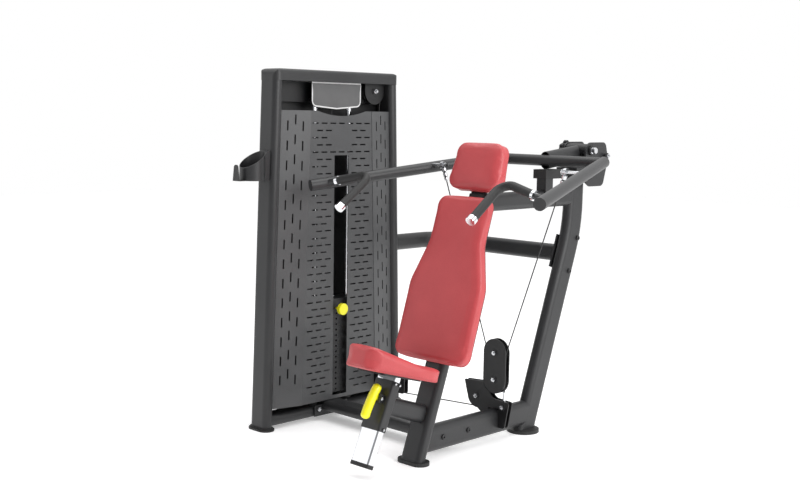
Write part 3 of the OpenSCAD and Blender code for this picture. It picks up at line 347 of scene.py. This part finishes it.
def swept(bm, points, radius, sides=10, closed=False):
    """A round tube through points."""
    count = len(points)
    rings = []
    for i, point in enumerate(points):
        ahead = points[(i + 1) % count] if closed or i + 1 < count else point
        behind = points[i - 1] if closed or i else point
        place = facing(point, ahead - behind)
        ring = bmesh.ops.create_circle(
            bm, segments=sides, radius=radius, matrix=place, cap_ends=False
        )
        rings.append({e for v in ring["verts"] for e in v.link_edges})
    for a, b in zip(rings, rings[1:] + ([rings[0]] if closed else [])):
        bmesh.ops.bridge_loops(bm, edges=list(a | b))


def welded(mesh):
    bm = bmesh.new()
    bm.from_mesh(mesh)
    bmesh.ops.remove_doubles(bm, verts=bm.verts, dist=1e-5)
    return bm


def section(mesh, point, normal):
    """The outline where a plane cuts a mesh, as points in order."""
    bm = welded(mesh)
    geom = bm.verts[:] + bm.edges[:] + bm.faces[:]
    bmesh.ops.bisect_plane(
        bm, geom=geom, plane_co=point, plane_no=normal, clear_inner=True, clear_outer=True
    )
    bm.verts.ensure_lookup_table()
    loop = [bm.verts[0]]
    edge = loop[0].link_edges[0]
    while len(loop) < len(bm.verts):
        loop.append(edge.other_vert(loop[-1]))
        edge = next((e for e in loop[-1].link_edges if e is not edge), None)
        if edge is None or edge.other_vert(loop[-1]) is loop[0]:
            break
    points = [v.co.copy() for v in loop]
    bm.free()
    return points


def spaced(points, step):
    """Points at an even step along a closed outline."""
    ends = points[1:] + points[:1]
    total = sum((b - a).length for a, b in zip(points, ends))
    count = round(total / step)
    found, walked, i = [], 0.0, 0
    for k in range(count):
        goal = total * k / count
        while walked + (ends[i] - points[i]).length < goal:
            walked += (ends[i] - points[i]).length
            i += 1
        span = (ends[i] - points[i]).length or 1.0
        found.append(points[i].lerp(ends[i], (goal - walked) / span))
    return found


print("helpers ready")

# %% [markdown]
# ## Cushions
# Each pad starts from its CAD form. It is remeshed into even squares, blown up a little by a
# cloth simulation with inner pressure, and smoothed. A limit on how far a point may move keeps
# the pad near the form of its solid, and its back stays flat where it rests. The back pad's solid
# holds two bodies, the foam and the board behind it, so a plane parts them first, and the foam is
# drawn back round the board.


# %% Cushion maker
def apply_modifiers(obj):
    bpy.context.view_layer.update()
    graph = bpy.context.evaluated_depsgraph_get()
    mesh = bpy.data.meshes.new_from_object(obj.evaluated_get(graph))
    obj.modifiers.clear()
    obj.data = mesh


def side_of(mesh, point, normal, front):
    """The closed part of a mesh before or behind a plane."""
    bm = welded(mesh)
    geom = bm.verts[:] + bm.edges[:] + bm.faces[:]
    bmesh.ops.bisect_plane(
        bm, geom=geom, plane_co=point, plane_no=normal, clear_inner=front, clear_outer=not front
    )
    bmesh.ops.holes_fill(bm, edges=bm.edges, sides=0)
    return bm


VOXEL, SWELL_LIMIT, CLOTH_STEPS = 0.005, 0.003, 12


def cushion(node, foam, name, body, front):
    rest_plane = min(v.co.dot(front) for v in foam.verts)
    mesh = bpy.data.meshes.new(name)
    foam.to_mesh(mesh)
    foam.free()
    pad = link(bpy.data.objects.new(name, mesh), body, red)
    remesh = pad.modifiers.new("even", "REMESH")
    remesh.mode, remesh.voxel_size = "VOXEL", VOXEL
    apply_modifiers(pad)
    start = [v.co.copy() for v in pad.data.vertices]
    cloth = pad.modifiers.new("swell", "CLOTH")
    cloth.settings.use_pressure = True
    cloth.settings.uniform_pressure_force = 3.0
    cloth.settings.effector_weights.gravity = 0.0
    cloth.settings.tension_stiffness = 40.0
    for step in range(1, CLOTH_STEPS + 1):
        scene.frame_set(step)
    apply_modifiers(pad)
    for vertex, was in zip(pad.data.vertices, start):
        moved = vertex.co - was
        if moved.length > SWELL_LIMIT:
            vertex.co = was + moved * (SWELL_LIMIT / moved.length)
    scene.frame_set(1)
    relax = pad.modifiers.new("relax", "SMOOTH")
    relax.factor, relax.iterations = 0.5, 3
    finer = pad.modifiers.new("finer", "SUBSURF")
    finer.levels = finer.render_levels = 1
    apply_modifiers(pad)
    for vertex in pad.data.vertices:
        sunk = rest_plane - vertex.co.dot(front)
        if sunk > 0.0:
            vertex.co += front * sunk
    pad.data.materials.clear()
    pad.data.materials.append(red)
    pad.data.shade_smooth()
    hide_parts(node)
    print(name, len(pad.data.vertices), "points")
    return pad


# %% Make the cushions
PAD_LEAN, SEAT_TILT = math.radians(17.7), math.radians(15.5)
pad_front = Vector((0.0, -math.cos(PAD_LEAN), math.sin(PAD_LEAN)))
seat_up = Vector((0.0, math.sin(SEAT_TILT), math.cos(SEAT_TILT)))
pad_rear = Vector((0.0, 0.106, 0.3926))
FOAM_FROM, BOARD_TO = 0.0103, 0.0097
FOAM_EDGE, DRAW_BACK = 0.017, 0.0085
seat = cushion("seat_pad", welded(nodes["seat_pad"].data), "seat_cushion", "seat", seat_up)
whole = nodes["back_pad"].data
foam = side_of(whole, pad_rear + pad_front * FOAM_FROM, pad_front, True)
for vert in foam.verts:
    depth = (vert.co - pad_rear).dot(pad_front)
    if depth < FOAM_EDGE:
        vert.co -= pad_front * DRAW_BACK
back = cushion("back_pad", foam, "back_cushion", "frame", pad_front)
back_board = side_of(whole, pad_rear + pad_front * BOARD_TO, pad_front, False)
piece("back_board", back_board, "frame", board)
head = cushion("head_pad", welded(nodes["head_pad"].data), "head_cushion", "frame", pad_front)

# %% [markdown]
# ## Seams
# The vinyl is pulled round to the back of each pad and sewn there. A plane cuts the cushion near
# its back, the cut is the line of the seam, and short stitches are laid along it.


# %% Sew the pads
STITCH, SEAM_R, STITCH_LIFT = 0.007, 0.0012, 0.0045


def sew(pad, body, inset, normal):
    low = min(v.co.dot(normal) for v in pad.data.vertices)
    outline = spaced(section(pad.data, normal * (low + inset), normal), STITCH)
    cord, threads = bmesh.new(), bmesh.new()
    swept(cord, outline, SEAM_R, 8, closed=True)
    half = STITCH * 0.32
    grain = [(0.0, -half), (0.0008, -half * 0.7), (0.0011, 0.0), (0.0008, half * 0.7), (0.0, half)]
    for a, b in zip(outline, outline[1:] + outline[:1]):
        turned(threads, grain, (a + b) / 2 + normal * STITCH_LIFT, b - a, 6)
    piece(pad.name + "_seam", cord, body, red_seam)
    piece(pad.name + "_stitches", threads, body, thread)
    print(pad.name, "sewn with", len(outline), "stitches")


sew(back, "frame", 0.008, pad_front)
sew(head, "frame", 0.009, pad_front)
sew(seat, "seat", 0.008, seat_up)

# %% [markdown]
# ## Cables that change length
# The runs up to the floating block and up to the top pulley grow and shrink as the arm moves.
# Each is made here as a straight tube between its two ends, tied to no body.


# %% Stretching cables
CABLE_R = 0.0025


def stretch(name, node, low, high):
    bm = bmesh.new()
    steps = 16
    swept(bm, [low.lerp(high, k / steps) for k in range(steps + 1)], CABLE_R, 12)
    cable = piece(name, bm, None, jacket)
    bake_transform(cable)
    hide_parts(node)


def centre(node):
    low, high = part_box(node)
    return (Vector(low) + Vector(high)) / 2


low, high = (Vector(v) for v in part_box("lift_cables"))
for name, x in (("lift_cable_left", high.x - CABLE_R), ("lift_cable_right", low.x + CABLE_R)):
    middle = (low.y + high.y) / 2
    bottom, top = Vector((x, middle, low.z)), Vector((x, middle, high.z))
    stretch(name, "lift_cables", bottom, top)
low, high = (Vector(v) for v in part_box("stack_cable"))
spot = centre("stack_cable")
bottom, top = Vector((spot.x, spot.y, low.z)), Vector((spot.x, spot.y, high.z))
stretch("stack_line", "stack_cable", bottom, top)
print("three stretching cables")

# %% [markdown]
# ## Nuts and bolts
# Bright nuts with black washers on the pulley axles, black button heads where the beams are
# bolted together. A nut is six-sided with a chamfer, a washer and the end of its bolt.


# %% Fasteners
WASHER_T = 0.002


def nut(bm, at, axis, radius, height, stub):
    chamfer = height - radius * 0.14
    body = [(0.0, height), (radius * 0.84, height), (radius, chamfer), (radius, 0.0)]
    turned(bm, body, at, axis, 6)
    end, top, worn = radius * 0.52, height + stub, 0.0008
    bolt = [(0.0, top), (end - worn, top), (end, top - worn), (end, height * 0.5)]
    turned(bm, bolt, at, axis, 20)


def washer(bm, at, axis, radius):
    worn = 0.0006
    disc = [(0.0, WASHER_T), (radius - worn, WASHER_T), (radius, WASHER_T - worn), (radius, 0.0)]
    turned(bm, disc, at, axis, 32)


def button(bm, at, axis, radius, height):
    socket = [(0.0, 0.45), (0.36, 0.45), (0.36, 1.0)]
    shape = socket + [(0.6, 0.96), (0.88, 0.66), (1.0, 0.2), (1.0, 0.0)]
    turned(bm, [(radius * r, height * h) for r, h in shape], at, axis, 28)


def fasten(name, body, places, radius, height, stub=0.004):
    """Bright nuts on black washers at (point, direction) places."""
    nuts, washers = bmesh.new(), bmesh.new()
    for at, axis in places:
        at, axis = Vector(at), Vector(axis)
        washer(washers, at, axis, radius * 1.45)
        nut(nuts, at + axis * WASHER_T, axis, radius, height, stub)
    piece(name + "_nuts", nuts, body, zinc)
    piece(name + "_washers", washers, body, black_steel)
    print(name, len(places), "nuts")


def heads(name, body, places, radius, height):
    """Black button heads at (point, direction) places."""
    bm = bmesh.new()
    for at, axis in places:
        button(bm, Vector(at), Vector(axis), radius, height)
    piece(name, bm, body, black_steel)
    print(name, len(places), "heads")


# %% Nuts on the pulley axles
CHEEK = 0.014
cable_y = centre("block_upper_pulley").y
both = ((-CHEEK, (0, -1, 0)), (CHEEK, (0, 1, 0)))


def axle_ends(points):
    return [((p.x, cable_y + off, p.z), axis) for p in points for off, axis in both]


anchor = Vector((0.048, cable_y, 0.150))
block = [centre("block_upper_pulley"), centre("block_lower_pulley")]
fasten("block_axle", "pulley_block", axle_ends(block), 0.0105, 0.008)
fasten("low_axle", "frame", axle_ends([centre("low_pulley"), anchor]), 0.0105, 0.008)
fasten("bottom_axle", "frame", axle_ends([centre("bottom_pulley")]), 0.0095, 0.007)
tops = [centre("top_pulley_rear"), centre("top_pulley_centre")]
tops = [((p.x + CHEEK, p.y, p.z), (1, 0, 0)) for p in tops]
fasten("top_axle", "frame", tops, 0.012, 0.009, 0.008)

# %% Bolts of the frame
def on_side(x, spots):
    """Places on a face that looks along +X."""
    return [((x, y, z), (1, 0, 0)) for y, z in spots]


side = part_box("base_beam")[1][0]
heads("base_beam_bolts", "frame", on_side(side, [(0.142, 0.084), (0.295, 0.084)]), 0.011, 0.008)
heads("column_bolts", "frame", on_side(side, [(1.013, 0.834), (0.957, 0.689)]), 0.012, 0.009)
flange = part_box("floor_tube")[0][0] + 0.008
fasten("flange", "frame", on_side(flange, [(0.142, 0.052), (0.296, 0.052)]), 0.010, 0.008)
pivot = centre("pivot_hub")
ear_x = pivot.x + 0.0635
spacer = on_side(ear_x + 0.014, [(pivot.y + 0.110, pivot.z - 0.025)])
fasten("spacer_bolt", "frame", spacer, 0.0095, 0.008)

# %% [markdown]
# ## Small parts
# The rounded ends of the yellow lever, the black cap on the chrome tube, the bright tensioner at
# each cable eye, the border of the placard and the black housing of the pivot.


# %% Lever ends
SLEEVE_LEAN = math.radians(24.0)
sleeve = Matrix.Translation((0.0, -0.228, 0.177)) @ Matrix.Rotation(-SLEEVE_LEAN, 4, "X")
PIN_Y, PIN_Z, BOW, LEVER_R = -0.0339, 0.120, 0.430, 0.018
LEVER_OUT, LEVER_LOW = 0.030, 0.040
ends = bmesh.new()
quarter = [math.radians(90.0) * k / 8 for k in range(9)]
dome = [(LEVER_R * math.cos(a), LEVER_R * 0.8 * math.sin(a)) for a in quarter]
for degrees, sign in ((0.4, -1.0), (15.6, 1.0)):
    a = math.radians(degrees)
    back_by = PIN_Y - LEVER_OUT + BOW - BOW * math.cos(a)
    spot = Vector((0.0, back_by, LEVER_LOW + BOW * math.sin(a)))
    along = Vector((0.0, math.sin(a), math.cos(a))) * sign
    turned(ends, dome, sleeve @ spot, sleeve.to_3x3() @ along, 32)
piece("lever_ends", ends, "lever", yellow)
print("lever ends")

# %% Tube cap and the sleeve's screws
CAP_WIDE, CAP_DEEP, CAP_TALL, CAP_LOW = 0.0488, 0.0188, 0.016, -0.146
cap = bmesh.new()
square = ((-1, -1), (1, -1), (1, 1), (-1, 1))
face = cap.faces.new([cap.verts.new((x * CAP_WIDE, y * CAP_DEEP, 0.0)) for x, y in square])
up = bmesh.ops.extrude_face_region(cap, geom=[face])["geom"]
raised = [g for g in up if isinstance(g, bmesh.types.BMVert)]
bmesh.ops.translate(cap, vec=(0, 0, CAP_TALL), verts=raised)
tall = [e for e in cap.edges if abs(e.verts[0].co.z - e.verts[1].co.z) > 0.005]
bmesh.ops.bevel(cap, geom=tall, offset=0.008, segments=5, affect="EDGES", profile=0.5)
rim = [e for e in cap.edges if max(v.co.z for v in e.verts) < 0.001]
bmesh.ops.bevel(cap, geom=rim, offset=0.003, segments=3, affect="EDGES", profile=0.5)
bmesh.ops.transform(cap, matrix=sleeve @ Matrix.Translation((0, 0, CAP_LOW)), verts=cap.verts)
piece("seat_tube_cap", cap, "seat", rubber)
sleeve_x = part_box("seat_sleeve")[1][0]
screws = [(sleeve_x, -0.012, 0.188), (sleeve_x, 0.012, 0.188), (sleeve_x, 0.0, 0.010)]
fasten("sleeve", "frame", [(sleeve @ Vector(p), (1, 0, 0)) for p in screws], 0.005, 0.004, 0.001)
pins = [(sleeve @ Vector((s * 0.026, PIN_Y, PIN_Z)), (s, 0, 0)) for s in (1, -1)]
fasten("lever_pin", "frame", pins, 0.0075, 0.005, 0.001)

# %% Cable tensioners
eye = Vector((0.330, cable_y, 1.156))
foot = Vector((0.0445, cable_y, 0.395))
collar = [(0.0068, 0.014), (0.0105, 0.015), (0.0105, 0.030), (0.0068, 0.031)]
barrel = [(0.0066, 0.036), (0.0088, 0.037), (0.0088, 0.052), (0.0066, 0.053)]
tail = [(0.0066, 0.056), (0.0082, 0.057), (0.0082, 0.068), (0.0030, 0.072)]
ring = [(0.0063, -0.0068), (0.0155, -0.0068), (0.0155, 0.0068), (0.0063, 0.0068)]
way = (foot - eye).normalized()
for hand, sign in (("left", 1.0), ("right", -1.0)):
    bm = bmesh.new()
    flip = Vector((sign, 1.0, 1.0))
    for profile in (collar, barrel, tail):
        turned(bm, profile, eye * flip, way * flip, 24)
    turned(bm, ring, eye * flip, (1, 0, 0), 28)
    piece("tensioner_" + hand, bm, "cable_leg_" + hand, zinc)
print("two tensioners")

# %% Placard border
plate_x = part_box("placard")[1][0]
middle = centre("placard")
edge = section(nodes["placard"].data, middle, Vector((1.0, 0.0, 0.0)))
edge = [p for k, p in enumerate(edge) if (p - edge[k - 1]).length > 0.0005]
# The border's four corners: height above the plate, distance in from its edge
corners = [(0.0, 0.0005), (0.0008, 0.0005), (0.0008, 0.0060), (0.0, 0.0060)]
bm = bmesh.new()
loops = []
for k, p in enumerate(edge):
    along = (edge[(k + 1) % len(edge)] - edge[k - 1]).normalized()
    inward = Vector((0.0, -along.z, along.y))
    if inward.dot(middle - p) < 0.0:
        inward.negate()
    spots = [(plate_x + out, p + inward * step) for out, step in corners]
    loops.append([bm.verts.new((x, q.y, q.z)) for x, q in spots])
for k, here in enumerate(loops):
    before = loops[k - 1]
    for j in range(4):
        bm.faces.new((before[j], before[j - 1], here[j - 1], here[j]))
piece("placard_border", bm, "frame", pale)
print("placard border:", len(loops), "steps")

# %% Pivot housing
LOBE_REACH, BUSH_REACH, LOBE_BOLTS_R = 0.05, 0.03, 0.033
bracket = nodes["pivot_bracket"].data
bracket.materials.append(black_steel)
far_side = pivot.x - 0.064
for polygon in bracket.polygons:
    middle = polygon.center
    lobes = middle.x < far_side and (middle - pivot).yz.length < LOBE_REACH
    bush = middle.x > ear_x + 0.0005 and (middle - pivot).yz.length < BUSH_REACH
    if lobes or bush:
        polygon.material_index = 1
lobe_bolts = []
for k in range(6):
    a = math.radians(60 * k)
    spot = Vector((-0.0795, LOBE_BOLTS_R * math.sin(a), LOBE_BOLTS_R * math.cos(a)))
    lobe_bolts.append((pivot + spot, (-1, 0, 0)))
fasten("housing", "frame", lobe_bolts, 0.006, 0.004, 0.001)

# %% [markdown]
# ## Studio
# A pale floor, a world that is white but for a grey side towards -Y, and three large soft lamps.
# The camera stands where the photograph was taken from: 44 degrees round from the front, looking
# slightly down.


# %% Floor and light
def area_light(name, place, aim, power, size):
    data = bpy.data.lights.new(name, "AREA")
    data.energy, data.size = power, size
    lamp = bpy.data.objects.new(name, data)
    scene.collection.objects.link(lamp)
    lamp.location = place
    lamp.rotation_euler = (Vector(aim) - Vector(place)).to_track_quat("-Z", "Y").to_euler()


floor_mat, floor_shader, floor_place = surface(
    "pale_floor", emission_color=(1.0, 1.0, 1.0, 1.0), emission_strength=0.30
)
dress(
    floor_shader,
    colour=noise(floor_place, 0.8).between((0.90, 0.90, 0.90), (0.92, 0.92, 0.92)),
    rough=0.7 + 0.1 * noise(floor_place, 4.0),
)
made = bmesh.new()
bmesh.ops.create_grid(made, x_segments=2, y_segments=2, size=14.0)
floor_mesh = bpy.data.meshes.new("floor")
made.to_mesh(floor_mesh)
made.free()
floor = bpy.data.objects.new("floor", floor_mesh)
scene.collection.objects.link(floor)
floor.data.materials.append(floor_mat)

world = bpy.data.worlds.new("studio")
scene.world = world
world.use_nodes = True
sky_tree = world.node_tree
way = Sock(sky_tree, sky_tree.nodes.new("ShaderNodeTexCoord").outputs["Generated"])
side_on = way.node("SeparateXYZ", {0: way}, out=1)
glow = side_on.ramp(-0.75, 0.05)
sky = sky_tree.nodes["Background"]
plug(sky_tree, sky.inputs["Color"], glow.between((0.30, 0.30, 0.31), (1.0, 1.0, 1.0)))
sky.inputs["Strength"].default_value = 1.0
area_light("key", (4.2, 0.6, 2.6), (-0.2, 0.4, 0.7), 130.0, 2.6)
area_light("panel", (-2.8, -2.6, 1.9), (0.0, -0.3, 0.2), 15.0, 2.2)
area_light("top", (-0.3, 0.4, 4.5), (-0.3, 0.4, 0.0), 98.0, 3.5)
print("floor, world and three lamps")

# %% Camera
AZIMUTH, PITCH, ROLL = (math.radians(v) for v in (44.389, 6.696, 0.924))
flat = math.cos(PITCH)
ahead = Vector((-math.sin(AZIMUTH) * flat, math.cos(AZIMUTH) * flat, -math.sin(PITCH)))
level = Vector((math.cos(AZIMUTH), math.sin(AZIMUTH), 0.0))
upward = level.cross(ahead)
across = math.cos(ROLL) * level + math.sin(ROLL) * upward
upright = math.cos(ROLL) * upward - math.sin(ROLL) * level
camera_data = bpy.data.cameras.new("camera")
camera_data.lens, camera_data.sensor_width = 51.99, 36.0
camera = bpy.data.objects.new("camera", camera_data)
scene.collection.objects.link(camera)
turn = Matrix((across, upright, -ahead)).transposed()
camera.matrix_world = Matrix.Translation((3.0692, -3.2311, 1.3747)) @ turn.to_4x4()
scene.camera = camera
scene.view_settings.view_transform = "Standard"
print("camera at", [round(v, 2) for v in camera.matrix_world.translation])

# %% [markdown]
# ## Finish
# The view layer is brought up to date. The dressed model must stay in the CAD model's
# box.

# %% Finish
bpy.context.view_layer.update()
